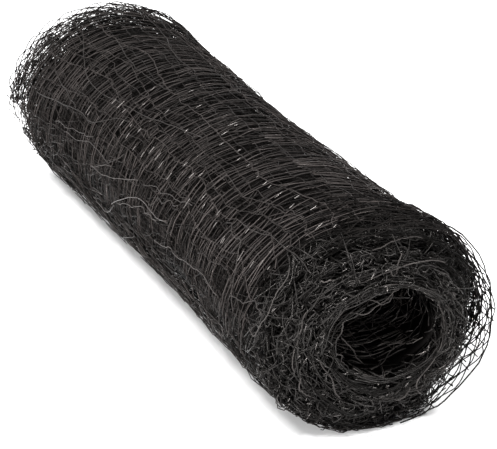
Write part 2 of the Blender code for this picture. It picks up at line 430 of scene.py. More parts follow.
# The camera, in the roll's frame
CAMERA = {
    "azimuth": math.radians(67.063),
    "elevation": math.radians(22.564),
    "distance": 0.8699,
    "right": 0.0120,
    "up": 0.0237,
    "focal_pixels": 1921.6,
}
PHOTO_WIDTH = 497
SENSOR_WIDTH = 36.0

# The studio
TENT_STRENGTH = 0.5
LIGHTS = (
    {"name": "left", "kind": "SUN", "place": (0.20, -0.56, 1.0), "size": 0.26, "power": 3.1},
    {"name": "right", "kind": "SUN", "place": (0.20, 0.62, 1.0), "size": 0.26, "power": 3.3},
    {"name": "window", "kind": "AREA", "place": (0.45, -0.90, 0.34), "size": 0.14, "power": 9.0},
    {"name": "fill", "kind": "AREA", "place": (1.10, -0.10, 0.30), "size": 0.60, "power": 3.0},
)
FLOOR_HALF = 4.0
FLOOR_SURFACE = {
    "Base Color": (0.92, 0.92, 0.92, 1.0),
    "Roughness": 0.9,
    "Specular IOR Level": 0.1,
}

# What all the net's materials share
GLOSS_TINT = (1.0, 0.93, 0.90, 1.0)
MOTTLE = {"Scale": 260.0, "Detail": 3.0}
SLEEK_WITHIN = 0.06
DULL_ROUGHNESS = 0.46
LEAST_WORN = 0.75
MOST_WORN = 1.30
BUMP_HEIGHT = 0.0001


def smooth(share):
    """Eases from 0 to 1 as share does."""
    share = np.clip(share, 0.0, 1.0)
    return share * share * (3 - 2 * share)


def read_table(table, key, value, at):
    """A smooth reading of one column of a table at places between those of its key column."""
    at = np.asarray(at, dtype=float)
    places, values = table[key], table[value]
    result = np.full(at.shape, float(values[0]))
    for low, high, start, end in zip(places, places[1:], values, values[1:]):
        share = smooth((at - low) / (high - low))
        result = np.where(at > low, start + (end - start) * share, result)
    return result


def bump(off, spread):
    """A round bump, 1 high, at some distance off its middle."""
    return np.exp(-((off / spread) ** 2))


def angle_from(angle, middle):
    """How far an angle is from another, from minus half a turn to half a turn."""
    return (angle - middle + math.pi) % TAU - math.pi


def thickness_at(turn):
    outer = smooth((turn - PACKED_TURNS) / THINNING_TURNS)
    return PACKED_THICKNESS + (NET_THICKNESS - PACKED_THICKNESS) * outer


def stand_off(turn, angle, along):
    """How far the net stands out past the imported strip, which it does in the outer turns alone."""
    loose = read_table(LOOSENESS, "along", "out", along)
    loose = loose * smooth((turn - LOOSE_FROM_TURN) / LOOSE_WITHIN_TURNS)
    degrees = np.degrees(angle_from(angle, 0.0))
    rim = read_table(NEAR_RIM, "degrees", "out", degrees) * smooth(1 - (1 - along) / RIM_REACH)
    return loose + rim * smooth((turn - PACKED_TURNS) / THINNING_TURNS)


def lobes_at(angle, along):
    """The scale that the section's soft lobes give at an angle and a place along the roll."""
    scale = 1.0
    for lobe in LOBES:
        phase = lobe["phase"] + TAU * lobe["turns_along"] * along
        scale = scale + lobe["depth"] * np.sin(lobe["around"] * angle + phase)
    return scale


def ends_at(turn, angle):
    """The places along X where a turn's far and near edges lie at an angle."""
    wave = END_WAVE_DEPTH * np.sin(END_WAVES * angle + turn)
    facing = 0.5 + 0.5 * np.cos(angle - SHOULDER_ANGLE)
    shoulder = SHOULDER_LEAST + (1 - SHOULDER_LEAST) * facing
    short = SHORT_BY * bump(angle_from(angle, SHORT_SIDE), SHORT_SPREAD)
    short = short * smooth(turn - SHORT_FROM_TURN)
    short = short * (1 - smooth((turn - SHORT_TO_TURN) / SHORT_STOPS_WITHIN))
    near_recess = read_table(TURN_ENDS, "turn", "near", turn) * shoulder + wave + short
    far_recess = read_table(TURN_ENDS, "turn", "far", turn) + wave
    return far_recess - ROLL_LENGTH / 2, ROLL_LENGTH / 2 - near_recess


def wound(turn, along, depth, slip=0.0):
    """Where a place on the net lies. The slip moves it along the roll, in metres."""
    angle = INNER_END_ANGLE + TAU * turn
    out = TURN_PITCH * turn + thickness_at(turn) + stand_off(turn, angle, along) - depth
    shift = BORE_SHIFT * np.maximum(0, 1 - turn / PACKED_TURNS)
    lobes = lobes_at(angle, along)
    girth = read_table(GIRTH, "along", "scale", along)
    across = (BORE_HALF_WIDTH + out) * lobes * np.cos(angle) + shift
    height = (BORE_HALF_HEIGHT + out) * lobes * np.sin(angle) + OUTER_HALF_HEIGHT
    far, near = ends_at(turn, angle)
    x = far + (near - far) * along + slip - MIDDLE_X
    y = across * girth - MIDDLE_Y
    z = np.maximum(height * girth - FLOOR_LEVEL, STRAND_RADIUS)
    return np.stack(np.broadcast_arrays(x, y, z), axis=-1)


class Field:
    """Smooth noise over the flat net, from -1 to 1, with swells of one length."""

    def __init__(self, rng, length):
        self.length = length
        self.turned = rng.uniform(0, TAU)
        self.values = rng.uniform(-1, 1, (LATTICE, LATTICE))

    def at(self, round_it, along_it):
        cos, sin = math.cos(self.turned), math.sin(self.turned)
        column = (round_it * cos + along_it * sin) / self.length
        row = (along_it * cos - round_it * sin) / self.length
        left, low = np.floor(column), np.floor(row)
        across, up = smooth(column - left), smooth(row - low)
        left, low = left.astype(int) % LATTICE, low.astype(int) % LATTICE
        right, high = (left + 1) % LATTICE, (low + 1) % LATTICE
        lower = self.values[left, low] * (1 - across) + self.values[right, low] * across
        upper = self.values[left, high] * (1 - across) + self.values[right, high] * across
        return lower * (1 - up) + upper * up


def crumpled(turn, along):
    """How crumpled the net is, from 0 to 1: most on the front and close to the ends."""
    angle = INNER_END_ANGLE + TAU * turn
    front = bump(angle_from(angle, FRONT_ANGLE), CRUMPLED_SPREAD)
    near = smooth((along - CRUMPLED_NEAR_FROM) / CRUMPLED_REACH)
    far = smooth((CRUMPLED_REACH - along) / CRUMPLED_REACH)
    return np.clip(front + near + CRUMPLED_FAR * far, 0, 1)


class Bends:
    """How one layer of net is pulled out of square."""

    def __init__(self, rng, loose=1.0, skew=0.0, middle=0.0):
        self.loose = loose
        self.skew = skew
        self.middle = middle
        self.fields = [
            {way: Field(rng, swell["length"]) for way in ("along", "round", "out")}
            for swell in SWELLS
        ]

    def at(self, turn, along):
        """The place's bent turn, its slip along the roll and how far it moves in."""
        round_it = turn * NET_GIRTH
        along_it = along * ROLL_LENGTH
        creased = crumpled(turn, along)
        skewed = self.skew * (turn - self.middle) * NET_GIRTH * np.sin(math.pi * along)
        moved = {"along": skewed, "round": 0.0, "out": 0.0}
        for swell, fields in zip(SWELLS, self.fields):
            strength = self.loose * (1 + swell["crumpled"] * creased)
            for way, field in fields.items():
                moved[way] = moved[way] + strength * swell[way] * field.at(round_it, along_it)
        edge = smooth(1 - np.minimum(along, 1 - along) / HELD_REACH)
        slip = moved["along"] * (1 - HELD_SHARE * edge)
        return turn + moved["round"] / NET_GIRTH, slip, -moved["out"]


def headings(points):
    """The unit direction of each strand at each of its points."""
    heading = np.gradient(points, axis=1)
    return heading / np.maximum(np.linalg.norm(heading, axis=2, keepdims=True), 1e-12)


def carried_facing(points):
    """A direction across each strand at each point, carried along it without twisting."""
    heading = headings(points)
    facing = np.empty_like(points)
    start = np.cross(heading[:, 0], (0.36, 0.48, 0.80))
    facing[:, 0] = start / np.linalg.norm(start, axis=1, keepdims=True)
    for index in range(1, points.shape[1]):
        ahead = heading[:, index]
        last = facing[:, index - 1]
        turned = last - np.sum(last * ahead, axis=1, keepdims=True) * ahead
        facing[:, index] = turned / np.linalg.norm(turned, axis=1, keepdims=True)
    return facing, heading


class Strands:
    """The strands of one piece: the middle lines of its tubes, with their radii and shades."""

    def __init__(self):
        self.points = []
        self.facing = []
        self.heading = []
        self.radii = []
        self.shades = []
        self.counts = []

    def add(self, points, radius, shade):
        """Adds strands with as many points each: an array of strands, points and X, Y, Z."""
        strands, count, _ = points.shape
        facing, heading = carried_facing(points)
        self.points.append(points.reshape(-1, 3))
        self.facing.append(facing.reshape(-1, 3))
        self.heading.append(heading.reshape(-1, 3))
        self.radii.append(np.broadcast_to(radius, (strands, count)).reshape(-1))
        self.shades.append(np.broadcast_to(shade, (strands, count)).reshape(-1))
        self.counts += [count] * strands

    def half_surface(self):
        """Half of the strands' surface, which is what a sheet made of them measures."""
        points = np.concatenate(self.points)
        radii = np.concatenate(self.radii)
        steps = np.linalg.norm(np.diff(points, axis=0), axis=1)
        inside = np.ones(len(points) - 1, dtype=bool)
        inside[np.cumsum(self.counts)[:-1] - 1] = False
        half = np.sum(steps[inside] * (radii[:-1] + radii[1:])[inside])
        return half * math.pi / 2

    def mesh(self, name, sides):
        """The strands as closed tubes in one mesh."""
        points = np.concatenate(self.points)
        facing = np.concatenate(self.facing)
        aside = np.cross(np.concatenate(self.heading), facing)
        radii = np.concatenate(self.radii)[:, None, None]
        corners = TAU * np.arange(sides) / sides
        ring = facing[:, None] * np.cos(corners)[:, None] + aside[:, None] * np.sin(corners)[:, None]
        ring = points[:, None] + radii * ring
        counts = np.array(self.counts)
        lasts = np.cumsum(counts) - 1
        firsts = lasts - counts + 1
        has_next = np.ones(len(points), dtype=bool)
        has_next[lasts] = False
        base = np.flatnonzero(has_next)[:, None] * sides
        corner = np.arange(sides)
        following = (corner + 1) % sides
        quads = np.stack(
            [base + corner, base + following, base + sides + following, base + sides + corner],
            axis=-1,
        ).reshape(-1, 4)
        start_caps = firsts[:, None] * sides + corner[::-1]
        end_caps = lasts[:, None] * sides + corner
        loops = np.concatenate([quads.ravel(), start_caps.ravel(), end_caps.ravel()])
        quad_starts = 4 * np.arange(len(quads))
        cap_starts = 4 * len(quads) + sides * np.arange(2 * len(counts))
        mesh = bpy.data.meshes.new(name)
        mesh.vertices.add(len(points) * sides)
        mesh.vertices.foreach_set("co", ring.ravel())
        mesh.loops.add(len(loops))
        mesh.loops.foreach_set("vertex_index", loops)
        mesh.polygons.add(len(quad_starts) + len(cap_starts))
        mesh.polygons.foreach_set("loop_start", np.concatenate([quad_starts, cap_starts]))
        mesh.update(calc_edges=True)
        mesh.shade_smooth()
        shade = mesh.attributes.new("shade", "FLOAT", "POINT")
        shade.data.foreach_set("value", np.repeat(np.concatenate(self.shades), sides))
        return mesh


def length_round(turn):
    """The net's length from its inner end to a turn."""
    outermost = NET_GIRTH - BORE_GIRTH
    return turn * (BORE_GIRTH + outermost * turn / (2 * PACKED_TURNS))


def even_turns(start, end, step):
    """Places from one turn to another, evenly spaced along the wound net."""
    fine = np.linspace(start, end, READINGS)
    steps = max(4, round((length_round(end) - length_round(start)) / step))
    wanted = np.linspace(length_round(start), length_round(end), steps + 1)
    return np.interp(wanted, length_round(fine), fine)


def random_turns(rng, turns, shape):
    """Random places from one turn to another, as likely on each length of the wound net."""
    lengths = rng.uniform(length_round(turns[0]), length_round(turns[1]), shape)
    fine = np.linspace(*turns, READINGS)
    return np.interp(lengths, length_round(fine), fine)


def weaving(rng, shape):
    """How far in each strand lies at each of its points, as it goes over and under the others."""
    steps = rng.normal(0, 1, shape)
    return WEAVE * (0.5 * steps + 0.35 * (np.roll(steps, 1, axis=1) + np.roll(steps, 2, axis=1)))


def round_strands(rng, strands, turns, alongs, depth, bends, pitch):
    """Adds a layer's strands that run round the roll, a little kinked at their knots."""
    start, end = turns
    low, high = alongs
    count = max(2, round((high - low) * ROLL_LENGTH / pitch))
    along = low + (high - low) * (np.arange(count) + rng.uniform(0.2, 0.8)) / count
    along = along + rng.normal(0, 0.28 * pitch / ROLL_LENGTH, count)
    turn = even_turns(start, end, ROUND_STEP)
    turn = turn + rng.uniform(-0.5, 0.5, (count, 1)) * ROUND_STEP / NET_GIRTH
    along = np.clip(along, low, high)[:, None] + np.zeros_like(turn)
    turn = np.clip(turn, start, end)
    bent, slip, inward = bends.at(turn, along)
    kink = 0.5 * KINK * (1 + 1.5 * crumpled(turn, along))
    slip = slip + kink * rng.normal(0, 1, turn.shape)
    shade = rng.uniform(0, 1, (count, 1))
    points = wound(bent, along, depth + inward + weaving(rng, turn.shape), slip)
    strands.add(points, STRAND_RADIUS, shade)


def ragged_alongs(rng, alongs, count):
    """Places on strands along the roll that each stop a little short at both ends."""
    low = alongs[0] + rng.exponential(FAR_RAGGED, (count, 1))
    high = alongs[1] - rng.exponential(NEAR_RAGGED, (count, 1))
    steps = max(3, round((alongs[1] - alongs[0]) * ROLL_LENGTH / ALONG_STEP))
    return low + (high - low) * np.linspace(0, 1, steps + 1)


def kinked(rng, turn, along, bends):
    """How a layer bends its strands along the roll, with their kinks where others cross."""
    bent, slip, inward = bends.at(turn, along)
    kink = KINK * (1 + CRUMPLED_KINK * crumpled(turn, along))
    return bent + kink * rng.normal(0, 1, turn.shape) / NET_GIRTH, slip, inward


def along_strands(rng, strands, turns, alongs, depth, bends, pitch):
    """Adds a layer's strands that run along the roll, kinked where they cross the others."""
    turn = even_turns(*turns, pitch)[:-1]
    count = len(turn)
    along = ragged_alongs(rng, alongs, count)
    turn = turn + rng.uniform(0.2, 0.8) * pitch / NET_GIRTH
    turn = turn + rng.normal(0, 0.30 * pitch / NET_GIRTH, count)
    turn = turn[:, None] + np.zeros_like(along)
    bent, slip, inward = kinked(rng, turn, along, bends)
    shade = rng.uniform(0, 1, (count, 1))
    points = wound(bent, along, depth + inward + weaving(rng, turn.shape), slip)
    strands.add(points, CROSS_RADIUS, shade)


def girth_at(turn):
    """The net's length in one turn."""
    return BORE_GIRTH + (NET_GIRTH - BORE_GIRTH) * turn / PACKED_TURNS


def stray_arcs(rng, strands, arcs):
    """Adds short arcs of strand that cross the layers they lie in."""
    shape = (arcs["count"], 1)
    share = np.linspace(-0.5, 0.5, ARC_POINTS)[None, :]
    arched = share * share - ARC_CENTRING
    turn = random_turns(rng, arcs["turns"], shape)
    along = rng.uniform(*arcs["alongs"], shape)
    length = rng.uniform(*arcs["lengths"], shape)
    slant = arcs.get("lean", 0.0) + rng.normal(0, arcs["slant"], shape)
    curve = rng.normal(0, arcs["curve"], shape)
    wave = rng.normal(0, ARC_WAVE, shape)
    wave = wave * np.sin(TAU * share * ARC_WAVES + rng.uniform(0, TAU, shape))
    round_it = length * share * np.cos(slant)
    slip = length * (share * np.sin(slant) + curve * arched + wave)
    slip = slip + rng.uniform(*arcs["slips"], shape) - 4 * arcs.get("tucked", 0.0) * share**2
    depth = rng.uniform(*arcs["depths"], shape)
    depth = depth + rng.normal(0, ARC_LEAN, shape) * share
    tilt = rng.normal(0, arcs.get("tilt", 0.0), shape)
    bow = rng.normal(0, arcs.get("bow", 0.0), shape)
    round_it = round_it * np.cos(tilt)
    depth = depth + length * (share * np.sin(tilt) + bow * arched)
    deepest = TURN_PITCH * turn + thickness_at(turn) + ARC_INSIDE
    outermost = TURN_PITCH * (turn - PACKED_TURNS) - ARC_OUTSIDE
    depth = np.clip(depth, outermost, deepest)
    points = wound(turn + round_it / girth_at(turn), along + np.zeros_like(share), depth, slip)
    strands.add(points, arcs.get("radius", FACE_STRAND_RADIUS), rng.beta(1, 1.8, shape))


def spline(rows):
    """A smooth curve through the rows of a table, as evenly read as the rows are."""
    rows = np.asarray(rows, dtype=float)
    padded = np.vstack([2 * rows[0] - rows[1], rows, 2 * rows[-1] - rows[-2]])
    place = np.linspace(0, len(rows) - 1, PLACES_READ)
    first = np.minimum(place.astype(int), len(rows) - 2)
    share = (place - first)[:, None]
    before, start, end, after = (padded[first + step] for step in range(4))
    bend = 2 * before - 5 * start + 4 * end - after
    twist = 3 * start - before - 3 * end + after
    return start + 0.5 * share * (end - before + share * (bend + share * twist))


def waver(rng):
    """A standing-out strand's wander to one side and the other, with none at its two ends."""
    share = np.linspace(0, 1, PLACES_READ)
    return sum(rng.normal(0, 1 / waves) * np.sin(math.pi * waves * share) for waves in range(2, 9))


def place_on_roll(x, angle):
    """The turn of the outermost net at a section angle, and the share of its length at an X."""
    first = INNER_END_ANGLE + TAU * OUTERMOST_FROM_TURN
    turn = OUTERMOST_FROM_TURN + ((angle - first) % TAU) / TAU
    far, near = ends_at(turn, angle)
    return turn, (x + MIDDLE_X - far) / (near - far)


def add_shaken(rng, strands, points, shake, radius, shade):
    """Adds one strand, shaken a little from point to point."""
    strands.add(points + rng.normal(0, shake, points.shape), radius, shade)


def body_strand(rng, places, lift):
    """A strand along the roll's outside through places given by X in mm and section angle."""
    read = spline(places)
    x = (read[:, 0] + X_WANDER * waver(rng)) / 1000
    angle = np.radians(read[:, 1] + BODY_ANGLE_WANDER * waver(rng))
    turn, along = place_on_roll(x, angle)
    return wound(turn, along, -lift / 1000)[None]


def face_strand(rng, places, x):
    """A strand across the near face through places given by section angle and mm off the bore."""
    read = spline(places)
    angle = np.radians(read[:, 0] + FACE_ANGLE_WANDER * waver(rng))
    out = (read[:, 1] + OUT_WANDER * waver(rng)) / 1000
    lobes = lobes_at(angle, 1.0)
    shift = BORE_SHIFT * np.clip(1 - out / (TURN_PITCH * PACKED_TURNS), 0, 1)
    y = (BORE_HALF_WIDTH + out) * lobes * np.cos(angle) + shift - MIDDLE_Y
    z = (BORE_HALF_HEIGHT + out) * lobes * np.sin(angle) + OUTER_HALF_HEIGHT - FLOOR_LEVEL
    forward = FORWARD_WAVE * np.sin(np.linspace(0, 5, PLACES_READ))
    z = np.maximum(z, STRAND_RADIUS)
    return np.stack([x / 1000 + forward, y, z], axis=-1)[None]


def thinning(turn, along, high):
    """The share of the strands round the roll that are left: fewer on the front of the outermost
    turns and towards the edges of a layer that doesn't reach the roll's ends."""
    front = bump(angle_from(INNER_END_ANGLE + TAU * turn, FRONT_ANGLE), THINNED_SPREAD)
    front = front * smooth((turn - THINNED_FROM_TURN) / THINNED_WITHIN_TURNS)
    edge = smooth((along - (high - EDGE_REACH)) / EDGE_REACH) if high < FULL_LENGTH else 0.0
    return (1 - THINNED_FRONT * front) * (1 - THINNED_EDGE * edge)


def netted_layer(rng, strands, winding, layer):
    """Adds a layer of net. Its strands round the roll run almost straight from one strand along the
    roll to the next, where they all turn a little."""
    low, high = winding["alongs"]
    pitch = layer["round"]
    middle = sum(winding["turns"]) / 2
    bends = Bends(rng, winding["loose"], layer["skew"], middle)
    columns = even_turns(*winding["turns"], layer["along"])
    shaken = rng.normal(0, ALONG_UNEVEN * layer["along"] / NET_GIRTH, len(columns) - 2)
    columns[1:-1] = np.sort(columns[1:-1] + shaken)
    count = round((high - low) * ROLL_LENGTH / pitch)
    row = low + (high - low) * (np.arange(count) + 0.5) / count
    row = row + rng.normal(0, ROUND_UNEVEN * pitch / ROLL_LENGTH, count)
    row = np.clip(row, low, high)
    stops = np.arange(low, high + TURNED_TOGETHER / ROLL_LENGTH, TURNED_TOGETHER / ROLL_LENGTH)
    aside = rng.normal(0, TURNED_ASIDE, (len(columns), len(stops)))
    aside = np.stack([np.interp(row, stops, shifts) for shifts in aside])
    aside = aside + rng.normal(0, BIT_UNEVEN * pitch, aside.shape)
    turn = columns[:-1, None, None] * (1 - BIT_SHARES) + columns[1:, None, None] * BIT_SHARES
    slip = aside[:-1, :, None] * (1 - BIT_SHARES) + aside[1:, :, None] * BIT_SHARES
    turn = turn + np.zeros_like(slip)
    along = row[None, :, None] + np.zeros_like(slip)
    patches = Field(rng, PATCH_LENGTH)
    full = patches.at(turn[:, :, 1] * NET_GIRTH, along[:, :, 1] * ROLL_LENGTH)
    full = (1 + PATCH_CHANGE * full) * thinning(turn[:, :, 1], along[:, :, 1], high)
    kept = rng.uniform(0, 1, full.shape) < layer["kept"] * full
    turn, slip, along = turn[kept], slip[kept], along[kept]
    bits = (len(turn), 1)
    bent, slipped, inward = bends.at(turn, along)
    sunk = rng.normal(0, SUNK, bits) + rng.normal(0, TILTED, bits) * np.array((-1, 0, 1))
    points = wound(bent, along, layer["depth"] + inward + sunk, slip + slipped)
    radius = STRAND_RADIUS * rng.uniform(*RADIUS_SHARES, bits)
    # A layer's lightest share darkens its strands: painted shade for a layer lying under another
    lightest = layer.get("lightest", 1.0)
    strands.add(points, radius, rng.uniform(0, lightest, bits))
    shades = [shade * lightest for shade in ALONG_SHADES]
    lengthwise_strands(rng, strands, columns, winding["alongs"], layer["depth"], bends, shades)


def lengthwise_strands(rng, strands, columns, alongs, depth, bends, shades):
    """Adds a layer's strands along the roll, one at each given turn, kinked where others cross."""
    count = len(columns)
    along = ragged_alongs(rng, alongs, count)
    turn = columns[:, None] + np.zeros_like(along)
    bent, slip, inward = kinked(rng, turn, along, bends)
    inward = inward + weaving(rng, turn.shape) - 0.0001
    points = wound(bent, along, depth + inward, slip)
    strands.add(points, CROSS_RADIUS, rng.uniform(*shades, (count, 1)))


def net_piece(winding, materials):
    """One piece of the wound net: a few layers of it, over some turns."""
    rng = np.random.default_rng(winding["seed"])
    strands = Strands()
    for layer in winding["layers"]:
        netted_layer(rng, strands, winding, layer)
    if winding["name"] == "bore_lining":
        stray_arcs(rng, strands, BORE_ARCS)
    strand_piece(winding["name"], strands, 3, materials[winding["material"]])


def unit(vector):
    return vector / np.linalg.norm(vector)


def glint_heading(ahead, beside, wanted):
    """The direction between two others, near a wanted lean off the first of them, in which a strand
    reflects one of the lights to the camera."""
    found = []
    for row in LIGHTS:
        halfway = unit(np.array(row["place"])) + np.array(camera_back())
        lean = -math.atan2(ahead @ halfway, beside @ halfway)
        lean = (lean + math.pi / 2) % math.pi - math.pi / 2
        found.append((abs(lean - wanted), lean))
    lean = min(found)[1]
    return ahead * math.cos(lean) + beside * math.sin(lean)


def add_glint(strands, middle, ahead, beside, lean, length, radii):
    """Adds a straight bit of strand that glints, between two directions given by their ends."""
    share = np.linspace(-0.5, 0.5, len(GLINT_RADII))[:, None]
    heading = glint_heading(unit(ahead - middle), unit(beside - middle), lean)
    strands.add((middle + length * share * heading)[None], radii, 1.0)


def body_glints(rng, strands):
    """Adds the bits that glint on the roll's outside, along the bands that face a light."""
    for band in GLINT_BANDS:
        low, high = band["x"]
        for number in range(band["count"]):
            x = low + (high - low) * (number + rng.uniform()) / band["count"]
            angle = math.radians(band["degrees"] + band["spread"] * rng.uniform(-1, 1))
            length = rng.gamma(GLINT_EVENNESS, GLINT_LENGTH / GLINT_EVENNESS)
            turn, along = place_on_roll(x, angle)
            middle = wound(turn, along, GLINT_DEPTH)
            ahead = wound(turn + TURN_STEP, along, GLINT_DEPTH)
            beside = wound(turn, along + ALONG_SHARE_STEP, GLINT_DEPTH)
            add_glint(strands, middle, ahead, beside, GLINT_LEAN, length, GLINT_RADII)


def face_glints(rng, strands):
    """Adds bits that glint all over the near face."""
    for turn in random_turns(rng, FACE_GLINTS["turns"], FACE_GLINTS["count"]):
        depth = rng.uniform(*FACE_GLINTS["depths"])
        slip = rng.uniform(*FACE_GLINTS["slips"])
        middle = wound(turn, 1.0, depth, slip)
        ahead = wound(turn + TURN_STEP, 1.0, depth, slip)
        outward = wound(turn, 1.0, depth - DEPTH_STEP, slip)
        lean = rng.normal(0, FACE_GLINTS["lean"])
        length = rng.uniform(*FACE_GLINTS["lengths"])
        radii = GLINT_RADII * rng.uniform(*FACE_GLINTS["radii"])
        add_glint(strands, middle, ahead, outward, lean, length, radii)


def glint_piece(material):
    """Short sleek bits of strand that catch the light."""
    strands = Strands()
    body_glints(np.random.default_rng(BODY_GLINT_SEED), strands)
    face_glints(np.random.default_rng(FACE_GLINT_SEED), strands)
    strand_piece("glinting_strands", strands, 5, material)


def lace_layer(rng, strands, rim, layer):
    """Adds a layer of lace: strands round the roll that meet by pairs at knots and part again."""
    low, high = layer["alongs"]
    pitch = rim["pitch"]
    rows = round((high - low) * ROLL_LENGTH / pitch)
    turn = even_turns(*rim["turns"], rim["knots"] / LACE_STEPS)
    columns = (len(turn) - 1) // LACE_STEPS
    turn = turn[: columns * LACE_STEPS + 1]
    row = np.arange(rows)[:, None]
    column = np.arange(columns + 1)[None, :]
    pair = np.where((row + column) % 2 == 0, row, row - 1)
    slipped = rng.normal(0, LACE_SLIP * pitch, (rows + 1, columns + 1))
    shifted = rng.normal(0, LACE_SHIFT * rim["knots"], (rows + 1, columns + 1)) / NET_GIRTH
    meets = (pair + 1) * pitch + slipped[pair + 1, column]
    shift = shifted[pair + 1, column]
    step = np.arange(columns * LACE_STEPS + 1)
    before = np.minimum(step // LACE_STEPS, columns - 1)
    share = step / LACE_STEPS - before
    eased = 0.5 * share + 0.5 * smooth(share)
    across = meets[:, before] * (1 - eased) + meets[:, before + 1] * eased
    turned = turn + shift[:, before] * (1 - share) + shift[:, before + 1] * share
    puff = rng.uniform(*LACE_PUFFS, (rows, columns))[:, before] * np.sin(math.pi * share)
    along = low + across / ROLL_LENGTH
    bends = Bends(rng, LACE_LOOSENESS)
    bent, slip, inward = bends.at(turned, along)
    points = wound(bent, along, layer["depth"] + inward - puff, slip)
    strands.add(points, LACE_RADIUS, rng.uniform(0, 1, (rows, 1)))
    ahead = headings(points)[:, ::LACE_STEPS]
    kept = rng.uniform(0, 1, (rows, columns + 1)) < KNOTS_KEPT
    tied = ((row + column) % 2 == 0) & (row < rows - 1) & kept
    middle, ahead = points[:, ::LACE_STEPS][tied][:, None], ahead[tied][:, None]
    half = rng.uniform(*KNOT_HALF_LENGTHS, (len(middle), 1, 1))
    shade = rng.uniform(*KNOT_SHADES, (len(middle), 1))
    strands.add(middle + ahead * half * KNOT_PLACES[:, None], KNOT_RADII, shade)
    crossing = np.linspace(low, high - LACE_END_GAP * pitch / ROLL_LENGTH, rows + 1)[None, :]
    crossing = crossing + np.zeros((columns + 1, 1))
    turned = turn[::LACE_STEPS][:, None] + np.zeros_like(crossing)
    bent, slip, inward = bends.at(turned, crossing)
    points = wound(bent, crossing, layer["depth"] + inward, slip)
    strands.add(points, LACE_RADIUS, LACE_CROSS_SHADE)


def lace_piece(rim, material):
    """The lace at one rim of the roll, with its knots."""
    rng = np.random.default_rng(rim["seed"])
    strands = Strands()
    for layer in rim["layers"]:
        lace_layer(rng, strands, rim, layer)
    if rim["name"] == "near_lace":
        for edge in RIM_STRANDS:
            points = face_strand(rng, edge["places"], edge["x"])
            add_shaken(rng, strands, points, RIM_SHAKE, RIM_STRAND_RADIUS, RIM_SHADE)
    strand_piece(rim["name"], strands, 4, material)


def standing_piece(material):
    """The strands that stand out on the roll and on its near face."""
    strands = Strands()
    rng = np.random.default_rng(STANDING_SEED)
    for row in BODY_STRANDS:
        points = body_strand(rng, row["places"], row.get("lift", USUAL_LIFT))
        add_shaken(rng, strands, points, BODY_SHAKE, BODY_STRAND_RADIUS, row["shade"])
    for row in FACE_STRANDS:
        points = face_strand(rng, row["places"], row["x"])
        shade = row.get("shade", USUAL_SHADE)
        add_shaken(rng, strands, points, FACE_SHAKE, FACE_STANDING_RADIUS, shade)
    strand_piece("loose_strands", strands, 5, material)


def fold_loops(rng, strands, end):
    """Adds loops past an end of the roll, where strands turn back into the next fold of the net."""
    shape = (FOLDS["count"], 1)
    share = np.linspace(0, 1, LOOP_POINTS)[None, :]
    turn = random_turns(rng, FOLDS["turns"], shape)
    start_depth = rng.uniform(*FOLDS["depths"], shape)
    end_depth = start_depth + rng.choice((-1, 1), shape) * rng.uniform(*FOLDS["apart"], shape)
    end_depth = np.clip(end_depth, FOLDS["least_depth"], FOLDS["most_depth"])
    reach = rng.gamma(FOLDS["evenness"], FOLDS["reach"], shape)
    leg = rng.uniform(*FOLDS["legs"], shape)
    beyond = (leg + reach) * np.sin(math.pi * share) ** FOLDS["blunt"] - leg
    aside = rng.normal(0, FOLDS["aside"], shape) * (share - 0.5)
    aside = aside + rng.normal(0, FOLDS["sway"], shape) * np.sin(TAU * share)
    depth = start_depth + (end_depth - start_depth) * smooth(share)
    depth = depth + rng.normal(0, FOLDS["dip"], shape) * np.sin(math.pi * share)
    near = end == "near"
    points = wound(turn + aside / girth_at(turn), float(near), depth, beyond if near else -beyond)
    strands.add(points, FACE_STRAND_RADIUS, rng.uniform(*FOLDS["shades"], shape))


def cell_rings(rng, strands):
    """Adds open cells of net that stand on the near face: small rings, bent and pulled longer."""
    shape = (CELLS["count"], 1)
    share = np.linspace(0, TAU, LOOP_POINTS)[None, :]
    turn = random_turns(rng, CELLS["turns"], shape)
    half_round = rng.uniform(*CELLS["half_round"], shape)
    half_out = rng.uniform(*CELLS["half_out"], shape)
    corner = np.sin(rng.integers(2, 5, shape) * share + rng.uniform(0, TAU, shape))
    corner = 1 + CELLS["corner"] * corner
    start = rng.uniform(0, TAU, shape)
    round_it = half_round * corner * np.cos(share + start)
    depth = rng.uniform(*CELLS["depths"], shape) + half_out * corner * np.sin(share + start)
    slip = rng.uniform(*CELLS["slips"], shape)
    slip = slip + CELLS["wave"] * np.sin(share + rng.uniform(0, TAU, shape))
    points = wound(turn + round_it / girth_at(turn), 1.0, depth, slip)
    strands.add(points, FACE_STRAND_RADIUS, rng.beta(1, 1.4, shape))


def face_piece(name, seed, end, material):
    """The edges of all the turns at one end of the roll."""
    rng = np.random.default_rng(seed)
    strands = Strands()
    alongs = (1 - FACE_REACH, 1.0) if end == "near" else (0.0, FACE_REACH)
    for depth in FACE_DEPTHS:
        bends = Bends(rng, FACE_LOOSENESS)
        round_strands(rng, strands, FACE_TURNS, alongs, depth, bends, FACE_ROUND_PITCH)
        along_strands(rng, strands, FACE_TURNS, alongs, depth, bends, FACE_ALONG_PITCH)
    strand_piece(name, strands, 3, material)


def tangle_piece(name, seed, arcs, material, end=None):
    """Crumpled short strands, with folds among them at the roll's ends and cells at the near one."""
    rng = np.random.default_rng(seed)
    strands = Strands()
    for row in arcs:
        stray_arcs(rng, strands, row)
    if end:
        fold_loops(rng, strands, end)
    if end == "near":
        cell_rings(rng, strands)
    strand_piece(name, strands, 3, material)


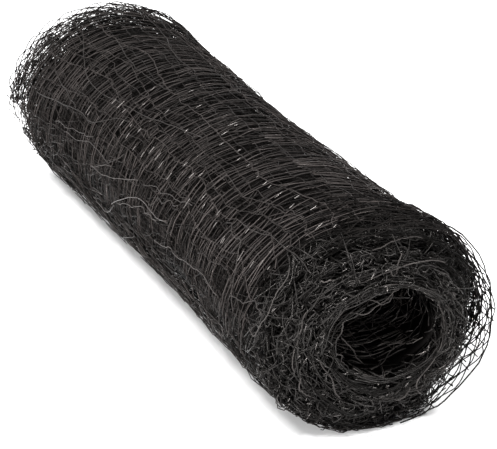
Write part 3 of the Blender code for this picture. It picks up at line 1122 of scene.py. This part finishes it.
def packed_piece(material):
    """The folds of net packed deep between the bore and the outer turns, as one wound band. Its
    near-black colour is painted shade for the depths of the roll that light doesn't reach.
    """
    rows, columns = PACKED_BAND["rows"], PACKED_BAND["columns"]
    turns = np.linspace(*PACKED_BAND["turns"], rows)[:, None]
    alongs = np.linspace(*PACKED_BAND["alongs"], columns)[None, :]
    rng = np.random.default_rng(PACKED_SEED)
    fields = [Field(rng, row["length"]) for row in LUMPS]
    places = (turns * NET_GIRTH, alongs * ROLL_LENGTH)
    lump = sum(row["height"] * field.at(*places) for row, field in zip(LUMPS, fields))
    thicker = smooth((turns - PACKED_BAND["thicker_from"]) / PACKED_BAND["thicker_within"])
    inner_depth = PACKED_BAND["inner_depth"] + PACKED_BAND["thicker"] * thicker
    outer_points = wound(turns, alongs, PACKED_BAND["depth"] + lump)
    inner_points = wound(turns, alongs, inner_depth + lump)
    points = np.concatenate([outer_points.reshape(-1, 3), inner_points.reshape(-1, 3)])
    back = rows * columns
    index = np.arange(back).reshape(rows, columns)
    corners = (index[:-1, :-1], index[1:, :-1], index[1:, 1:], index[:-1, 1:])
    outer = np.stack([corner.ravel() for corner in corners], axis=-1)
    underside = outer[:, [0, 3, 2, 1]] + back
    rim = np.concatenate([index[0, :], index[1:, -1], index[-1, -2::-1], index[-2:0:-1, 0]])
    after = np.roll(rim, -1)
    edge = np.stack([rim, after, after + back, rim + back], axis=-1)
    mesh = bpy.data.meshes.new("packed_folds")
    mesh.from_pydata(points.tolist(), [], np.concatenate([outer, underside, edge]).tolist())
    mesh.shade_smooth()
    piece = placed_piece("packed_folds", mesh, material)


def linked(name, data):
    """A new object in the scene."""
    thing = bpy.data.objects.new(name, data)
    bpy.context.scene.collection.objects.link(thing)
    return thing


def placed_piece(name, mesh, material):
    """Puts a piece of net in the scene, on the roll's body and in place of its solid."""
    mesh.materials.append(material)
    piece = linked(name, mesh)
    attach(piece, "root")
    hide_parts(SOLID)
    return piece


def strand_piece(name, strands, sides, material):
    """A piece of net made of strands, which fill only a part of the flat net."""
    piece = placed_piece(name, strands.mesh(name, sides), material)
    area = strands.half_surface()


def set_inputs(node, values):
    """Sets some inputs of a node by their names."""
    for name, value in values.items():
        node.inputs[name].default_value = value


def add_node(nodes, kind, values):
    """A new shader node with some of its inputs set."""
    node = nodes.new(kind)
    set_inputs(node, values)
    return node


def net_material(
    name, colour, darkest, lightest, gloss, sleek=0.86, sleekest=0.25, bumpy=0.25, ior=1.5
):
    """Black extruded plastic. Each strand is a little lighter or darker than the next, and the ones
    past the sleek share are smooth enough to glint."""
    material = bpy.data.materials.new(name)
    material.use_nodes = True
    nodes = material.node_tree.nodes
    link = material.node_tree.links.new
    surface = nodes["Principled BSDF"]
    set_inputs(surface, {"Specular IOR Level": gloss, "Specular Tint": GLOSS_TINT, "IOR": ior})
    shade = nodes.new("ShaderNodeAttribute")
    shade.attribute_name = "shade"
    tint = add_node(nodes, "ShaderNodeMapRange", {"To Min": darkest, "To Max": lightest})
    link(shade.outputs["Fac"], tint.inputs["Value"])
    painted = nodes.new("ShaderNodeMix")
    painted.data_type = "RGBA"
    painted.blend_type = "MULTIPLY"
    set_inputs(painted, {"Factor": 1.0, "A": (*colour, 1.0)})
    link(tint.outputs["Result"], painted.inputs["B"])
    link(painted.outputs["Result"], surface.inputs["Base Color"])
    smoothness = add_node(
        nodes,
        "ShaderNodeMapRange",
        {
            "From Min": sleek - SLEEK_WITHIN,
            "From Max": sleek + SLEEK_WITHIN,
            "To Min": DULL_ROUGHNESS,
            "To Max": sleekest,
        },
    )
    link(shade.outputs["Fac"], smoothness.inputs["Value"])
    place = nodes.new("ShaderNodeTexCoord")
    mottle = add_node(nodes, "ShaderNodeTexNoise", MOTTLE)
    link(place.outputs["Object"], mottle.inputs["Vector"])
    wear = add_node(nodes, "ShaderNodeMapRange", {"To Min": LEAST_WORN, "To Max": MOST_WORN})
    link(mottle.outputs["Fac"], wear.inputs["Value"])
    rough = nodes.new("ShaderNodeMath")
    rough.operation = "MULTIPLY"
    link(smoothness.outputs["Result"], rough.inputs[0])
    link(wear.outputs["Result"], rough.inputs[1])
    link(rough.outputs["Value"], surface.inputs["Roughness"])
    bumps = add_node(nodes, "ShaderNodeBump", {"Strength": bumpy, "Distance": BUMP_HEIGHT})
    link(mottle.outputs["Fac"], bumps.inputs["Height"])
    link(bumps.outputs["Normal"], surface.inputs["Normal"])
    return material


def camera_back():
    """The direction from the roll towards the camera."""
    azimuth, elevation = CAMERA["azimuth"], CAMERA["elevation"]
    level = math.cos(elevation)
    return Vector((math.sin(azimuth) * level, -math.cos(azimuth) * level, math.sin(elevation)))


def make_camera():
    """The camera that took the photograph, fitted to the roll's outline."""
    back = camera_back()
    right = (-back).cross(Vector((0, 0, 1))).normalized()
    up = right.cross(-back)
    place = back * CAMERA["distance"] + right * CAMERA["right"] + up * CAMERA["up"]
    turned = Matrix((right, up, back)).transposed().to_4x4()
    lens = bpy.data.cameras.new("camera")
    lens.sensor_width = SENSOR_WIDTH
    lens.lens = CAMERA["focal_pixels"] / PHOTO_WIDTH * SENSOR_WIDTH
    lens.clip_start = 0.01
    camera = linked("camera", lens)
    camera.matrix_world = Matrix.Translation(place) @ turned
    bpy.context.scene.camera = camera


def make_lights():
    """Two soft lights above, a dim white tent, a low window at the front that makes glints, and a
    wide soft light that reaches into the near end."""
    world = bpy.data.worlds.new("tent")
    world.use_nodes = True
    tent = {"Color": (1.0, 1.0, 1.0, 1.0), "Strength": TENT_STRENGTH}
    set_inputs(world.node_tree.nodes["Background"], tent)
    bpy.context.scene.world = world
    for row in LIGHTS:
        lamp = bpy.data.lights.new(row["name"], row["kind"])
        if row["kind"] == "SUN":
            lamp.angle = row["size"]
        else:
            lamp.size = row["size"]
        lamp.energy = row["power"]
        light = linked(row["name"], lamp)
        light.location = row["place"]
        light.rotation_euler = Vector(row["place"]).to_track_quat("Z", "Y").to_euler()


def make_floor():
    """A white table top, much larger than the camera sees."""
    mesh = bpy.data.meshes.new("floor")
    corners = [(x * FLOOR_HALF, y * FLOOR_HALF, 0) for x, y in ((-1, -1), (1, -1), (1, 1), (-1, 1))]
    mesh.from_pydata(corners, [], [(0, 1, 2, 3)])
    material = bpy.data.materials.new("floor")
    material.use_nodes = True
    set_inputs(material.node_tree.nodes["Principled BSDF"], FLOOR_SURFACE)
    mesh.materials.append(material)
    floor = linked("floor", mesh)


bpy.context.scene.view_settings.view_transform = "Standard"
make_camera()
make_lights()
make_floor()
MATERIALS = {
    "outer": net_material("net_outer", (0.0280, 0.0241, 0.0228), 0.1, 2.6, 0.25),
    # Painted shade: a darker copy of the outer net, for the lower layers and the lace
    "deep": net_material("net_deep_shade", (0.0052, 0.0045, 0.0042), 0.3, 1.6, 0.08),
    # Painted light: a lighter copy of the net, for the light that falls into the bore
    "bore": net_material("net_bore_lit", (0.0700, 0.0630, 0.0590), 0.1, 2.3, 0.90, sleek=0.5),
    "face": net_material("net_face", (0.0058, 0.0055, 0.0051), 0.1, 2.9, 0.42, sleek=0.45),
    # Painted shade: a near-black copy of the net, for the face layers behind the tangle
    "dim": net_material("net_dim_shade", (0.0032, 0.0030, 0.0028), 0.2, 2.0, 0.10),
    # Painted shade: a near-black copy of the net, for the packed band deep in the roll
    "packed": net_material("net_packed_shade", (0.0022, 0.0018, 0.0017), 1.0, 1.0, 0.05),
    "bright": net_material("net_bright", (0.0240, 0.0212, 0.0200), 0.3, 2.1, 0.40),
    "glint": net_material(
        "net_glint", (0.0300, 0.0270, 0.0250), 1.0, 1.0, 1.00, sleekest=0.36, bumpy=0.02, ior=1.8
    ),
}
for winding in WINDINGS:
    net_piece(winding, MATERIALS)
tangle_piece("front_strays", 71, FRONT_ARCS, MATERIALS["outer"])
glint_piece(MATERIALS["glint"])
# The lace takes the darker "deep" material: painted shade for strands lit from behind
for rim in LACE_RIMS:
    lace_piece(rim, MATERIALS["deep"])
# The face layers behind the tangle take the near-black "dim" material: painted shade in the hollows
face_piece("near_face", 41, "near", MATERIALS["dim"])
face_piece("far_face", 43, "far", MATERIALS["dim"])
tangle_piece("near_tangle", 45, NEAR_ARCS, MATERIALS["face"], "near")
tangle_piece("far_tangle", 46, FAR_ARCS, MATERIALS["face"], "far")
packed_piece(MATERIALS["packed"])
standing_piece(MATERIALS["bright"])
